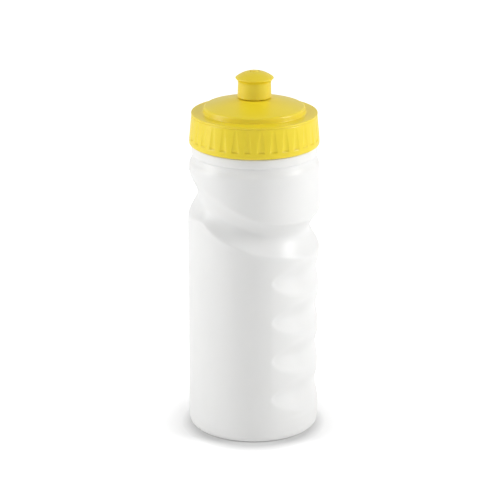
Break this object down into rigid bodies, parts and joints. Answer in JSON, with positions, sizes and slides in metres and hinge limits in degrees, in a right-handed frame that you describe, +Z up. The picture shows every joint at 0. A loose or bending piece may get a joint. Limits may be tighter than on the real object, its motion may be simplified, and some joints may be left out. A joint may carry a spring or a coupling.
{
  "type": "sports squeeze bottle",
  "caption": "Round squeeze bottle with a slanted thumb groove, finger grips, a fluted screw cap and a push-pull drinking nozzle.",
  "frame": {"origin": "centre of the base, on the plane that the bottle stands on", "axes": "+Z up along the bottle's axis; -Y is the front, with the finger grips to the right of it, towards +X"},
  "size_m": [0.071, 0.071, 0.198],
  "materials": {
    "body_plastic": "milky white blow-moulded polyethylene, soft satin",
    "cap_plastic": "yellow injection-moulded polypropylene, fine satin",
    "seal_foam": "off-white closed-cell sealing foam",
    "nozzle_plastic": "yellow soft polyethylene, satin"
  },
  "bodies": {
    "bottle": {"bottle_body": "body_plastic"},
    "seal": {"cap_seal": "seal_foam"},
    "cap": {"screw_cap": "cap_plastic"},
    "nozzle": {"push_pull_nozzle": "nozzle_plastic"}
  },
  "joints": [
    {"name": "cap_rise", "type": "slide", "parent": "bottle", "child": "seal", "axis": [0, 0, 1], "range_m": [0, 0.01463]},
    {"name": "cap_turn", "type": "hinge", "parent": "seal", "child": "cap", "pos_m": [0, 0, 0.165], "axis": [0, 0, 1], "range_deg": [0, 1170]},
    {"name": "nozzle_pull", "type": "slide", "parent": "cap", "child": "nozzle", "axis": [0, 0, 1], "range_m": [0, 0.0055]}
  ],
  "couplings": [
    {"joint": "cap_rise", "follows": "cap_turn", "m_per_rad": 0.0007162}
  ]
}
